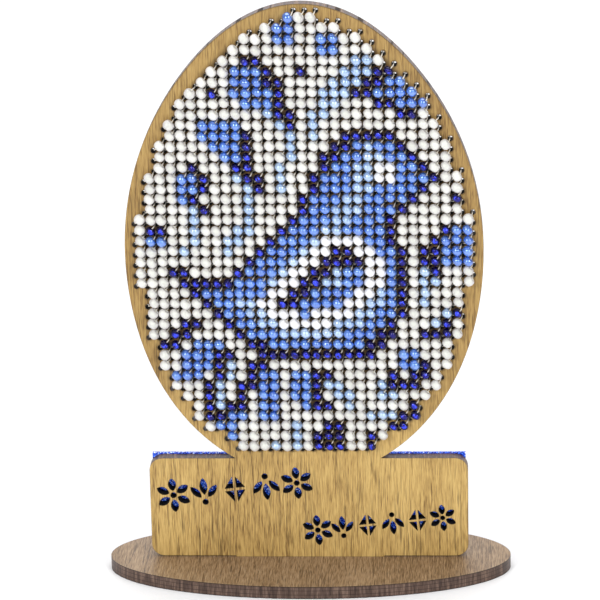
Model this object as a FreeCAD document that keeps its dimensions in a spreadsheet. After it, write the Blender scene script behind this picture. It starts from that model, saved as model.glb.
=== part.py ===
import FreeCAD, Part
import math, os, random
import Sketcher
from FreeCAD import Placement, Rotation, Vector

# Flat decorative egg on a stand: a perforated plywood egg with a plaque and a
# tab below it, a beaded bird stitched on its front, an oval plywood base with a
# slot for the tab, and a glitter card behind the stencilled plaque.
# Millimetres, +Z up, the beaded front faces -Y, origin at the middle of the
# underside of the base.

doc = FreeCAD.newDocument("beaded_egg")

# ---------------------------------------------------------------- dimensions
sheet = doc.addObject("Spreadsheet::Sheet", "sizes")
DIMS = [
    ("ply", 3.0, "plywood thickness"),
    ("base_long", 94.3, "oval base, long axis"),
    ("base_wide", 40.0, "oval base, short axis"),
    ("slot_play", 0.1, "gap between tab and slot, each side"),
    ("tab_wide", 35.0, "tab width"),
    ("shoulder_gap", 0.2, "gap between base top and plaque"),
    ("plaque_wide", 74.5, "plaque width"),
    ("plaque_top", 27.75, "height of the plaque's shoulders"),
    ("plaque_round", 3.0, "plaque corner radius"),
    ("neck_half", 17.0, "half width of the egg where it meets the plaque"),
    ("egg_top", 136.7, "height of the egg's tip"),
    ("egg_half", 41.15, "greatest half width of the egg"),
    ("pitch", 2.5, "hole and bead spacing"),
    ("row_zero", 103.9, "height of bead row 0"),
    ("hole_dia", 1.2, "stitch hole diameter"),
    ("bead_dia", 2.58, "bead outside diameter"),
    ("bead_long", 1.84, "bead length along its bore"),
    ("bead_bore", 1.04, "bead bore diameter"),
    ("bead_gap", 0.03, "gap between bead and panel"),
    ("thread_dia", 0.32, "sewing thread diameter"),
    ("card_wide", 73.4, "glitter card width"),
    ("card_low", 4.3, "height of the card's lower edge"),
    ("card_top", 28.1, "height of the card's upper edge"),
    ("card_thick", 0.6, "glitter card thickness"),
    ("stencil_turn", 6.0, "slant of the ornament bands in degrees"),
]
for n, (alias, value, note) in enumerate(DIMS, start=1):
    sheet.set("A%d" % n, alias)
    sheet.set("B%d" % n, repr(value))
    sheet.set("C%d" % n, note)
    sheet.setAlias("B%d" % n, alias)
doc.recompute()


def dim(name):
    return float(sheet.get(name))


def plane(body, role):
    return [f for f in body.Origin.OriginFeatures if f.Role == role][0]


def new_sketch(body, name, role):
    sk = body.newObject("Sketcher::SketchObject", name)
    sk.AttachmentSupport = [(plane(body, role), "")]
    sk.MapMode = "FlatFace"
    return sk


def rectangle(sk, x0, y0, x1, y1):
    """Four lines, joined and squared; returns the index of the first."""
    a = sk.addGeometry(Part.LineSegment(Vector(x0, y0, 0), Vector(x1, y0, 0)), False)
    b = sk.addGeometry(Part.LineSegment(Vector(x1, y0, 0), Vector(x1, y1, 0)), False)
    c = sk.addGeometry(Part.LineSegment(Vector(x1, y1, 0), Vector(x0, y1, 0)), False)
    d = sk.addGeometry(Part.LineSegment(Vector(x0, y1, 0), Vector(x0, y0, 0)), False)
    for p, q in ((a, b), (b, c), (c, d), (d, a)):
        sk.addConstraint(Sketcher.Constraint("Coincident", p, 2, q, 1))
    for g in (a, c):
        sk.addConstraint(Sketcher.Constraint("Horizontal", g))
    for g in (b, d):
        sk.addConstraint(Sketcher.Constraint("Vertical", g))
    return a


def driven(sk, kind, args, value, formula):
    """A dimensional constraint that takes its value from the sheet."""
    k = sk.addConstraint(Sketcher.Constraint(kind, *args, value))
    sk.setExpression("Constraints[%d]" % k, formula)
    return k


def box_sketch(sk, x0, y0, x1, y1, left, low, right, high):
    a = rectangle(sk, x0, y0, x1, y1)
    driven(sk, "DistanceX", (-1, 1, a, 1), x0, left)
    if low is None:                              # lower edge lies on the sketch's own X axis
        sk.addConstraint(Sketcher.Constraint("PointOnObject", a, 1, -1))
    else:
        driven(sk, "DistanceY", (-1, 1, a, 1), y0, low)
    driven(sk, "DistanceX", (-1, 1, a + 1, 2), x1, right)
    driven(sk, "DistanceY", (-1, 1, a + 1, 2), y1, high)


# ---------------------------------------------------------------- oval base
base = doc.addObject("PartDesign::Body", "stand_base")
base.Label = "stand_base"
sk = new_sketch(base, "base_outline", "XY_Plane")
half_long, half_wide = dim("base_long") / 2, dim("base_wide") / 2
e = sk.addGeometry(Part.Ellipse(Vector(0, 0, 0), half_long, half_wide), False)
sk.exposeInternalGeometry(e)
sk.addConstraint(Sketcher.Constraint("Coincident", e, 3, -1, 1))
sk.addConstraint(Sketcher.Constraint("Horizontal", e + 1))
driven(sk, "Distance", (e + 1,), 2 * half_long, "sizes.base_long")
driven(sk, "Distance", (e + 2,), 2 * half_wide, "sizes.base_wide")
pad = base.newObject("PartDesign::Pad", "base_pad")
pad.Profile = sk
pad.setExpression("Length", "sizes.ply")
doc.recompute()
full = pad.Shape.Volume
sk = new_sketch(base, "slot_outline", "XY_Plane")
sx, sy = dim("tab_wide") / 2 + dim("slot_play"), dim("ply") / 2 + dim("slot_play")
box_sketch(sk, -sx, -sy, sx, sy,
           "-sizes.tab_wide / 2 - sizes.slot_play", "-sizes.ply / 2 - sizes.slot_play",
           "sizes.tab_wide / 2 + sizes.slot_play", "sizes.ply / 2 + sizes.slot_play")
pocket = base.newObject("PartDesign::Pocket", "tab_slot")
pocket.Profile = sk
pocket.Type = 1
pocket.Reversed = True
doc.recompute()
cut_away = full - pocket.Shape.Volume
print("slot volume", round(cut_away, 3), "expected", round(4 * sx * sy * dim("ply"), 3))
assert abs(cut_away - 4 * sx * sy * dim("ply")) < 0.01

# ---------------------------------------------------------------- panel blank
blank = doc.addObject("PartDesign::Body", "panel_blank")
blank.Label = "panel_blank"

# plaque: a rounded rectangle standing just above the base
sk = new_sketch(blank, "plaque_outline", "XZ_Plane")
px, pz0, pz1, pr = dim("plaque_wide") / 2, dim("ply") + dim("shoulder_gap"), dim("plaque_top"), dim("plaque_round")
box_sketch(sk, -px, pz0, px, pz1,
           "-sizes.plaque_wide / 2", "sizes.ply + sizes.shoulder_gap",
           "sizes.plaque_wide / 2", "sizes.plaque_top")
pad = blank.newObject("PartDesign::Pad", "plaque_pad")
pad.Profile = sk
pad.Midplane = True
pad.setExpression("Length", "sizes.ply")
doc.recompute()
edges = []
for n, edge in enumerate(pad.Shape.Edges, start=1):
    box = edge.BoundBox
    if box.YLength > dim("ply") * 0.9 and box.XLength < 0.01 and box.ZLength < 0.01:
        edges.append("Edge%d" % n)
fillet = blank.newObject("PartDesign::Fillet", "plaque_corners")
fillet.Base = (pad, edges)
fillet.setExpression("Radius", "sizes.plaque_round")
doc.recompute()

# tab: reaches down through the base, flush with its underside
sk = new_sketch(blank, "tab_outline", "XZ_Plane")
tx = dim("tab_wide") / 2
box_sketch(sk, -tx, 0.0, tx, pz0 + 2.0,
           "-sizes.tab_wide / 2", None,
           "sizes.tab_wide / 2", "sizes.ply + sizes.shoulder_gap + 2")
pad = blank.newObject("PartDesign::Pad", "tab_pad")
pad.Profile = sk
pad.Midplane = True
pad.setExpression("Length", "sizes.ply")
doc.recompute()

# egg: smooth closed curve from the neck round the tip and back to the neck;
# each pair is (share of the height from neck to tip, share of the half width)
EGG = [(1.0, 0.0), (0.9743, 0.2770), (0.9376, 0.4301), (0.8458, 0.6634), (0.7357, 0.8408), (0.5888, 0.9684),
       (0.4695, 1.0), (0.3318, 0.9672), (0.1850, 0.8433), (0.0748, 0.6513)]
low, tip, wide, neck = dim("plaque_top"), dim("egg_top"), dim("egg_half"), dim("neck_half")
right = [Vector(wide * v, low + (tip - low) * u, 0) for u, v in EGG[1:]] + [Vector(neck, low, 0)]
left = [Vector(-p.x, p.y, 0) for p in reversed(right)]
curve = Part.BSplineCurve()
curve.interpolate(left + [Vector(0, tip, 0)] + right)
sk = new_sketch(blank, "egg_outline", "XZ_Plane")
sk.addGeometry(curve, False)
path = [Vector(neck, low, 0), Vector(neck, low - 2, 0), Vector(-neck, low - 2, 0), Vector(-neck, low, 0)]
for a, b in zip(path, path[1:]):
    sk.addGeometry(Part.LineSegment(a, b), False)
for a, b in ((0, 1), (1, 2), (2, 3), (3, 0)):
    if a == 3:
        sk.addConstraint(Sketcher.Constraint("Coincident", 3, 2, 0, 1))
    else:
        sk.addConstraint(Sketcher.Constraint("Coincident", a, 2, b, 1))
pad = blank.newObject("PartDesign::Pad", "egg_pad")
pad.Profile = sk
pad.Midplane = True
pad.setExpression("Length", "sizes.ply")
doc.recompute()
blank.Tip = pad
doc.recompute()

# ---------------------------------------------------------------- bead grid
# Row n of the grid lies at row_zero + n * pitch; each row reaches the same
# number of beads to the left and right of the middle bead.
ROW_TOP = 12
REACH = [1, 3, 5, 6, 7, 8, 9, 10, 11, 11, 12, 12, 13, 13, 13, 14, 14, 14, 14,
         15, 15, 15, 15, 15, 15, 15, 14, 14, 14, 14, 14, 13, 13, 13, 12, 12,
         11, 10, 10, 9, 7, 6]
ROWS = [ROW_TOP - k for k in range(len(REACH))]
PITCH, ZERO, PLY = dim("pitch"), dim("row_zero"), dim("ply")

holes = set()
for row, reach in zip(ROWS, REACH):
    for col in range(-reach, reach + 1):
        holes.add((2 * col - 1, 2 * row - 1))
        holes.add((2 * col + 1, 2 * row + 1))
holes = sorted(holes)

# ---------------------------------------------------------------- ornament
def lens(cx, cz, long, wide, turn):
    """Leaf-shaped cutter: two arcs meeting at two tips."""
    h = long / 2
    w = wide / 2
    face = Part.Face(Part.Wire([
        Part.Arc(Vector(-h, 0, 0), Vector(0, 0, w), Vector(h, 0, 0)).toShape(),
        Part.Arc(Vector(h, 0, 0), Vector(0, 0, -w), Vector(-h, 0, 0)).toShape()]))
    face.rotate(Vector(0, 0, 0), Vector(0, -1, 0), turn)
    face.translate(Vector(cx, -PLY, cz))
    return face.extrude(Vector(0, 2 * PLY, 0))


def ngon(points):
    pts = [Vector(x, -PLY, z) for x, z in points]
    return Part.Face(Part.makePolygon(pts + [pts[0]])).extrude(Vector(0, 2 * PLY, 0))


def rosette(cx, cz, size):
    """Six petals round a dot."""
    out = []
    for k in range(6):
        a = math.radians(30 + 60 * k)
        out.append(lens(cx + size * 0.315 * math.cos(a), cz + size * 0.315 * math.sin(a),
                        size * 0.37, size * 0.22, math.degrees(a)))
    return out + [Part.makeCylinder(size * 0.085, 2 * PLY, Vector(cx, -PLY, cz), Vector(0, 1, 0))]


def fan(cx, cz, size, up=1):
    """Three leaves spreading from a bud."""
    out = [lens(cx, cz + up * size * 0.20, size * 0.58, size * 0.25, 90)]
    for side in (-1, 1):
        out.append(lens(cx + side * size * 0.27, cz + up * size * 0.02, size * 0.50, size * 0.22, side * up * 52))
    out.append(Part.makeCylinder(size * 0.10, 2 * PLY, Vector(cx, -PLY, cz - up * size * 0.34), Vector(0, 1, 0)))
    return out


def fan_down(cx, cz, size):
    return fan(cx, cz, size, -1)


def diamond(cx, cz, size):
    """A diamond quartered by two bridges."""
    g, w, t = size * 0.045, size * 0.36, size * 0.46
    out = []
    for a in (-1, 1):
        for b in (-1, 1):
            out.append(ngon([(cx + a * g, cz + b * g), (cx + a * (w - g), cz + b * g), (cx + a * g, cz + b * (t - g))]))
    return out


def band(cx, cz, turn, motifs, step):
    parts = []
    start = -step * (len(motifs) - 1) / 2
    for k, (make, size) in enumerate(motifs):
        parts += make(start + k * step, 0.0, size)
    group = Part.makeCompound(parts)
    group.rotate(Vector(0, 0, 0), Vector(0, -1, 0), turn)
    group.translate(Vector(cx, 0, cz))
    return group


turn = dim("stencil_turn")
upper_band = band(-17.3, 20.0, turn,
                  [(rosette, 8.4), (fan, 7.2), (diamond, 7.6), (fan_down, 7.2), (rosette, 8.0)], 7.3)
lower_band = band(16.6, 11.2, turn,
                  [(rosette, 7.6), (fan, 6.0), (diamond, 6.4), (fan_down, 6.0), (diamond, 6.4), (rosette, 6.6)], 5.9)

tools = doc.addObject("Part::Feature", "panel_cutters")
cutters = [Part.makeCylinder(dim("hole_dia") / 2, 2 * PLY, Vector(a * PITCH / 2, -PLY, ZERO + b * PITCH / 2), Vector(0, 1, 0))
           for a, b in holes]
tools.Shape = Part.makeCompound(cutters + list(upper_band.Solids) + list(lower_band.Solids))
print("stitch holes", len(cutters), "stencil openings", len(upper_band.Solids) + len(lower_band.Solids))

panel = doc.addObject("Part::Cut", "egg_panel")
panel.Label = "egg_panel"
panel.Base = blank
panel.Tool = tools
doc.recompute()
print("panel blank", round(blank.Shape.Volume, 1), "cut", round(panel.Shape.Volume, 1), "solids", len(panel.Shape.Solids))

# ---------------------------------------------------------------- glitter card
card = doc.addObject("PartDesign::Body", "glitter_card")
card.Label = "glitter_card"
sk = new_sketch(card, "card_outline", "XZ_Plane")
sk.setExpression("AttachmentOffset.Base.z", "-sizes.ply / 2")
cx = dim("card_wide") / 2
box_sketch(sk, -cx, dim("card_low"), cx, dim("card_top"),
           "-sizes.card_wide / 2", "sizes.card_low", "sizes.card_wide / 2", "sizes.card_top")
pad = card.newObject("PartDesign::Pad", "card_pad")
pad.Profile = sk
pad.Reversed = True
pad.setExpression("Length", "sizes.card_thick")
doc.recompute()
print("card spans y", round(card.Shape.BoundBox.YMin, 3), round(card.Shape.BoundBox.YMax, 3))

# ---------------------------------------------------------------- motif
# A generic folk bird among sprays of leaves, drawn with simple shapes in grid
# units (column, row). Later shapes lie over earlier ones; bare ground is white.
#   disc: middle, half width, half height
#   leaf: two tips and half width
#   line: half width at start and end, then points
#   area: corner points
BIRD = [(2, -2), (3.2, 0), (5, 1), (8, 1), (10, -1), (12.2, -3), (10, -5), (8, -7), (8.2, -9),
        (9, -10.5), (9, -16), (6.6, -19.2), (5, -20), (-3, -20), (-5, -19), (-12, -12), (-9.5, -13),
        (-7, -13), (0, -6), (1, -3.6)]
WING = [(3.5, -9), (5.8, -10), (6.6, -12), (5.8, -14.2), (3.5, -15.8), (0.5, -17), (-2.2, -16.2),
        (-3.3, -14.8), (-1.2, -12.6), (0.7, -10.8), (2.2, -9.3)]
MOTIF = [
    # flowers at the tip of the egg
    ("blue", "disc", (-1.4, 10.8), 0.9, 1.4),
    ("blue", "disc", (2.5, 9.5), 0.8, 0.8),
    # upper left leaf on its stem
    ("pale", "line", 0.5, 0.5, [(-3, 3), (-2, 2), (-1, 1), (-1, -1), (-2, -2.5), (-2, -4)]),
    ("blue", "leaf", (-6.9, 7.9), (-2.2, 3.0), 1.65),
    ("cobalt", "line", 0.5, 0.75, [(-5, 8.1), (-3.8, 7.8), (-2.8, 6.8), (-2, 5.4), (-1.8, 4), (-1.2, 2.9), (-1, 2)]),
    # upper right leaf on its stem
    ("pale", "line", 1.3, 0.4, [(5.4, 7.2), (4, 6), (3, 5), (2.3, 3.8), (1.3, 2.8), (1, 1)]),
    ("blue", "leaf", (6.2, 6.4), (12, 3.4), 1.5),
    ("cobalt", "line", 0.5, 0.6, [(8, 7.2), (7, 6.8), (6.5, 6), (5, 5)]),
    ("cobalt", "line", 0.5, 0.5, [(7, 4.1), (8, 4), (9, 3.1), (10, 3)]),
    # left leaf on its stem
    ("pale", "line", 0.45, 0.6, [(-6, -3), (-5, -4), (-4.6, -5.6), (-5.2, -7.6), (-6.6, -8.9), (-7, -10)]),
    ("blue", "area", [(-9.5, 2.5), (-5.5, 2.5), (-5.5, -1.5), (-7.4, -1.4), (-8.6, 0), (-9.5, 1)]),
    ("cobalt", "line", 0.5, 0.7, [(-5, 1.2), (-5, -1.8), (-4.7, -2.8), (-4, -4)]),
    ("cobalt", "disc", (-6, -2), 0.4, 0.4),
    # far left leaf
    ("blue", "disc", (-10.6, -3.9), 0.95, 1.6),
    ("cobalt", "line", 0.5, 0.5, [(-10, -2), (-9, -3), (-9, -4), (-9.6, -5), (-9, -6)]),
    ("pale", "line", 0.6, 0.5, [(-10, -6), (-9.6, -7), (-9.6, -8.2), (-10.2, -9.2), (-11, -10)]),
    ("cobalt", "disc", (-13.5, -8), 0.8, 0.4),
    ("blue", "disc", (-13.5, -9), 0.8, 0.4),
    # single berries
    ("cobalt", "disc", (-8, 5), 0.4, 0.4),
    ("cobalt", "disc", (0, 7), 0.4, 0.4),
    ("cobalt", "disc", (14, -5), 0.4, 0.4),
    # bird
    ("blue", "area", BIRD),
    ("pale", "line", 1.0, 0.7, [(6.2, -0.8), (5.4, -3.2), (4.4, -5.6), (3, -7.2), (1.4, -9), (0, -10.4), (-2, -12.2), (-3.2, -13)]),
    ("pale", "line", 0.8, 0.7, [(-5.6, -14.9), (-4.4, -16.2), (-2.6, -17.2), (0.5, -18), (3.2, -17.2), (5.6, -16.1), (7, -15), (7.1, -13.8)]),
    ("cobalt", "line", 0.52, 0.52, BIRD + [BIRD[0]]),
    ("ring", "area", WING),
    ("ring", "line", 0.75, 0.75, WING + [WING[0]]),
    ("blue", "area", [(2, -11.4), (4.6, -11.4), (5.5, -12.4), (4.6, -14.3), (3, -15.4), (-0.6, -16.4), (-1.4, -15.6)]),
    ("pale", "disc", (2.3, -12.6), 1.1, 0.9),
    ("cobalt", "disc", (3.5, -10.8), 1.75, 0.95),
    ("cobalt", "line", 0.7, 0.55, [(2, -11.2), (0.8, -12.8), (-0.5, -14.1), (-1.7, -15)]),
    ("ring", "disc", (7.5, -2.5), 0.8, 0.8),
    # flower at the right edge
    ("blue", "disc", (14, -9.4), 1.6, 2.1),
    ("cobalt", "line", 0.5, 0.75, [(13, -8), (12, -9), (11.6, -10.2), (11.7, -11.4), (12, -12)]),
    ("pale", "line", 0.5, 0.6, [(11, -12), (11.5, -13.1), (11.4, -14.2), (11, -15)]),
    ("pale", "disc", (12.6, -16.6), 0.85, 0.7),
    ("cobalt", "line", 0.55, 0.55, [(14, -16), (13, -17.2), (12.6, -18), (11, -18)]),
    # spray at the lower left
    ("cobalt", "line", 0.75, 0.75, [(-10.5, -17), (-11.6, -18), (-12.6, -19)]),
    ("blue", "leaf", (-7.8, -18.2), (-12.4, -22.9), 1.3),
    ("cobalt", "line", 0.6, 0.6, [(-7.4, -20), (-8, -21), (-8, -22), (-9, -23.3), (-9, -25), (-8.5, -26)]),
    ("pale", "line", 0.45, 0.45, [(-7, -21), (-7.1, -22.1), (-8, -23.3), (-8, -25)]),
    ("blue", "line", 0.75, 0.6, [(-6.4, -26), (-7.5, -27), (-7, -28)]),
    ("blue", "leaf", (-3.2, -20.8), (-3.8, -27.2), 1.35),
    ("cobalt", "line", 0.6, 0.7, [(-4.2, -20.9), (-5, -21.6), (-5.5, -23), (-6.2, -24.4), (-6.8, -25.2)]),
    # leaves below the bird
    ("blue", "leaf", (-0.6, -21.2), (-0.1, -25.9), 1.0),
    ("cobalt", "line", 0.85, 0.85, [(1.5, -21.9), (1, -23), (1, -24), (1.5, -25)]),
    ("pale", "line", 0.6, 0.45, [(2.5, -22.9), (3.5, -24), (4.2, -25)]),
    ("blue", "disc", (9.6, -20.7), 1.6, 1.0),
    ("cobalt", "line", 0.6, 0.65, [(11, -21), (10.6, -22), (9.2, -23), (8, -22.6)]),
    ("pale", "line", 0.45, 0.45, [(7, -23), (7, -24), (8, -24)]),
    ("cobalt", "line", 0.6, 0.65, [(10, -25), (9.4, -26), (8.5, -27)]),
    ("pale", "line", 0.45, 0.45, [(6, -26), (8, -26)]),
    ("cobalt", "line", 0.4, 0.4, [(6, -28), (6, -29)]),
    ("cobalt", "disc", (2.1, -28.1), 1.5, 1.5),
    ("pale", "line", 0.4, 0.4, [(-1, -27), (-1, -29)]),
    ("pale", "disc", (-3, -29), 0.4, 0.4),
]


def in_area(x, y, pts):
    inside = False
    for (x0, y0), (x1, y1) in zip(pts, pts[1:] + pts[:1]):
        if (y0 > y) != (y1 > y) and x < x0 + (y - y0) * (x1 - x0) / (y1 - y0):
            inside = not inside
    return inside


def covers(shape, x, y):
    kind = shape[1]
    if kind == "disc":
        (cx, cy), a, b = shape[2:]
        return ((x - cx) / a) ** 2 + ((y - cy) / b) ** 2 <= 1.0
    if kind == "leaf":
        (x0, y0), (x1, y1), w = shape[2:]
        length = math.hypot(x1 - x0, y1 - y0)
        ux, uy = (x1 - x0) / length, (y1 - y0) / length
        s = (x - x0) * ux + (y - y0) * uy
        t = abs((x - x0) * uy - (y - y0) * ux)
        return 0 <= s <= length and t <= w * (1 - (2 * s / length - 1) ** 2)
    if kind == "area":
        return in_area(x, y, shape[2])
    w0, w1, pts = shape[2:]
    total = sum(math.hypot(b[0] - a[0], b[1] - a[1]) for a, b in zip(pts, pts[1:]))
    run = 0.0
    for (x0, y0), (x1, y1) in zip(pts, pts[1:]):
        length = math.hypot(x1 - x0, y1 - y0)
        s = max(0.0, min(1.0, ((x - x0) * (x1 - x0) + (y - y0) * (y1 - y0)) / length ** 2))
        d = math.hypot(x - x0 - s * (x1 - x0), y - y0 - s * (y1 - y0))
        if d <= w0 + (w1 - w0) * (run + s * length) / total:
            return True
        run += length
    return False


def colour_of(col, row):
    found = "white"
    for shape in MOTIF:
        if covers(shape, col, row):
            found = shape[0]
    return found


# ---------------------------------------------------------------- beads
TR = 1.1 * dim("thread_dia") / 2                # half the diagonal of the thread's square section
BACK = PLY / 2 + TR + 0.05
SHARE = 0.155                                  # each thread pass leans towards its own bead in a hole
BEND = 1.55                                    # how far from the bead's middle the thread turns down to its hole
# A bead is a ring of elliptical section cut by its bore. It is held slantwise
# by one half-cross stitch, from the hole at its lower left to the hole at its
# upper right, and hand sewing leaves each a little off the grid.
BORE = dim("bead_bore") / 2
CORE = 0.60                                   # radius at the middle of the section
SEC_A = dim("bead_dia") / 2 - CORE            # section, radial half size
SEC_B = dim("bead_long") / 2                  # section, axial half size
rng = random.Random(20)
FRONT = -PLY / 2


def unit(v):
    return Vector(v).normalize()


def hole(col2, row2, lean, y):
    """A thread pass in a hole; both numbers count half spacings."""
    return Vector(col2 * PITCH / 2 + lean * SHARE, y, ZERO + row2 * PITCH / 2 + lean * SHARE)


class Bead:
    def __init__(self, col, row):
        self.col, self.row = col, row
        self.size = 1.0 + 0.024 * max(-1.6, min(1.6, rng.gauss(0, 1)))

    def place(self, share):
        """Shift, turn and tilt the bead at random; share 0 puts it on the grid."""
        along, across, turn_, tilt, lift = [share * max(-1.8, min(1.8, rng.gauss(0, 1))) for _ in range(5)]
        ang = math.radians(45 + 7.5 * turn_)
        tip_ = math.radians(5.0 * tilt)
        self.axis = Vector(math.cos(ang) * math.cos(tip_), math.sin(tip_), math.sin(ang) * math.cos(tip_))
        a, b = SEC_A * self.size, SEC_B * self.size
        ay = self.axis.y
        reach = CORE * self.size * math.sqrt(1 - ay * ay) + math.sqrt(a * a * (1 - ay * ay) + b * b * ay * ay)
        y = FRONT - dim("bead_gap") - reach - 0.09 * abs(lift)
        diag = math.sqrt(0.5)
        dx = diag * (0.06 * along + 0.10 * across)
        dz = diag * (0.06 * along - 0.10 * across)
        self.mid = Vector(self.col * PITCH + dx, y, ZERO + self.row * PITCH + dz)
        self.points = None
        ends = [self.turn(-1), self.turn(1)]
        self.slopes = [ends[0] + (ends[1] - ends[0]) * (k / 12.0) for k in range(13)]
        for way, top in zip((-1, 1), ends):
            foot = hole(2 * self.col + way, 2 * self.row + way, -way, BACK)
            t0 = (FRONT - 0.10 - BACK) / (top.y - BACK)
            self.slopes += [foot + (top - foot) * (t0 + (1 - t0) * k / 5.0) for k in range(5)]

    def turn(self, way):
        """Where the thread turns from the bead's bore into the hole at that end."""
        spot = hole(2 * self.col + way, 2 * self.row + way, -way, self.mid.y + way * BEND * self.axis.y)
        side = Vector(1, 0, -1).normalize()
        miss = (self.mid + self.axis * (way * BEND) - spot).dot(side)
        return spot + side * max(-0.15, min(0.15, miss))

    def surface(self):
        if self.points is None:
            side = self.axis.cross(Vector(0, 1, 0)).normalize()
            up = self.axis.cross(side)
            self.points = []
            for k in range(9):
                t = math.pi * k / 8
                s = -SEC_B * self.size * math.cos(t)
                r = (CORE + SEC_A * math.sin(t)) * self.size
                for m in range(16):
                    f = math.pi * m / 8
                    self.points.append(self.mid + self.axis * s + side * (r * math.cos(f)) + up * (r * math.sin(f)))
        return self.points

    def depth(self, p):
        """Below 1 when the point is inside the bead grown by a small margin."""
        d = p - self.mid
        s = d.dot(self.axis)
        r = math.sqrt(max(0.0, d.dot(d) - s * s))
        grow = 0.02
        over = max(0.0, r - CORE * self.size)
        return (over / (SEC_A * self.size + grow)) ** 2 + (s / (SEC_B * self.size + grow)) ** 2

    def rubs(self, p):
        """True when the thread round point p would touch this bead."""
        d = p - self.mid
        s = d.dot(self.axis)
        grow = TR + 0.03
        if abs(s) > SEC_B * self.size + grow:
            return False
        r = math.sqrt(max(0.0, d.dot(d) - s * s))
        if r + TR + 0.02 < BORE * self.size:
            return False
        return ((r - CORE * self.size) / (SEC_A * self.size + grow)) ** 2 + (s / (SEC_B * self.size + grow)) ** 2 < 1

    def fits(self, near):
        if any(self.rubs(p) for p in self.slopes):
            return False
        for o in near:
            if any(o.rubs(p) for p in self.slopes) or any(self.rubs(p) for p in o.slopes) or self.meets(o):
                return False
        return True

    def meets(self, other):
        if (self.mid - other.mid).Length > dim("bead_dia") * 1.12:
            return False
        return (any(self.depth(p) < 1 for p in other.surface())
                or any(other.depth(p) < 1 for p in self.surface()))


beads = {}
shares = []
for row, reach in zip(ROWS, REACH):
    for col in range(-reach, reach + 1):
        bead = Bead(col, row)
        near = [beads[k] for k in ((col - 1, row), (col, row + 1), (col - 1, row + 1), (col + 1, row + 1)) if k in beads]
        placed = False
        while not placed:                          # a bead that finds no room is a slightly smaller one
            for share in (1.0,) * 6 + (0.85,) * 6 + (0.7,) * 6 + (0.55,) * 5 + (0.4,) * 5 + (0.25, 0.25, 0.25, 0.12, 0.12, 0.0):
                bead.place(share)
                if bead.fits(near):
                    placed = True
                    break
            if not placed:
                bead.size *= 0.985
        shares.append(share)
        beads[(col, row)] = bead
print("smallest bead", round(min(b.size for b in beads.values()), 3))
print("beads", len(beads), "mean share", round(sum(shares) / len(shares), 3), "on the grid", sum(1 for q in shares if q == 0.0))

profile_cache = {}


def bead_solid(bead):
    """Revolve the bead's section about its bore and set it in place."""
    key = round(bead.size, 2)
    bead.size = key
    if key not in profile_cache:
        a, b, core, bore = SEC_A * key, SEC_B * key, CORE * key, BORE * key
        drop = (bore - core) / a
        half = b * math.sqrt(1 - drop * drop)
        ell = (Part.Ellipse(Vector(core, 0, 0), b, a) if b > a else Part.Ellipse(Vector(core, 0, 0), a, b))
        if b > a:
            ell.rotate(Placement(Vector(core, 0, 0), Rotation(Vector(0, 0, 1), 90), Vector(0, 0, 0)))
        low_p, high_p = Vector(bore, -half, 0), Vector(bore, half, 0)
        u0, u1 = ell.parameter(low_p), ell.parameter(high_p)
        outer = ell.value((u0 + (u1 if u1 > u0 else u1 + 2 * math.pi)) / 2)
        if outer.x < core:
            u0, u1 = u1, u0
        if u1 < u0:
            u1 += 2 * math.pi
        arc = Part.ArcOfEllipse(ell, u0, u1).toShape()
        ends = [v.Point for v in arc.Vertexes]
        line = Part.makeLine(ends[-1], ends[0])
        face = Part.Face(Part.Wire([arc, line]))
        solid = face.revolve(Vector(0, 0, 0), Vector(0, 1, 0), 360)
        if solid.Volume < 0:
            solid.reverse()
        profile_cache[key] = solid
    solid = profile_cache[key].copy()
    turn_to = Rotation(Vector(0, 1, 0), bead.axis)
    return solid.transformed(Placement(bead.mid, turn_to).toMatrix(), True)


groups = {"beads_white_upper": [], "beads_white_middle": [], "beads_white_lower": [], "beads_ring_white": [],
          "beads_pale_blue": [], "beads_mid_blue": [], "beads_cobalt": []}
NAME = {"ring": "beads_ring_white", "pale": "beads_pale_blue", "blue": "beads_mid_blue", "cobalt": "beads_cobalt"}
chart = []
for row, reach in zip(ROWS, REACH):
    text = ""
    for col in range(-reach, reach + 1):
        tint = colour_of(col, row)
        text += {"white": ".", "ring": "=", "pale": "o", "blue": "B", "cobalt": "#"}[tint]
        name = NAME.get(tint) or ("beads_white_upper" if row > 0 else ("beads_white_middle" if row > -14 else "beads_white_lower"))
        groups[name].append(bead_solid(beads[(col, row)]))
    chart.append("%4d |%s|" % (row, text.center(33)))
print("\n".join(chart))

loose = []
for name, solids in groups.items():
    feature = doc.addObject("Part::Feature", name)
    feature.Label = name
    feature.Shape = Part.makeCompound(solids)
    feature.Placement = Placement()
    loose.append(feature)
    print(name, len(solids))

# ---------------------------------------------------------------- thread
# One thread runs row by row, there and back: up through a hole, slantwise
# through the bead, down the next hole, and straight down or up the back to the
# next bead. Two passes share most holes and lie side by side in them.
def stitch(bead, forward):
    c, r = bead.col, bead.row
    pts = [hole(2 * c - 1, 2 * r - 1, 1, BACK), bead.turn(-1), bead.turn(1), hole(2 * c + 1, 2 * r + 1, -1, BACK)]
    return pts if forward else pts[::-1]


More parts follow.
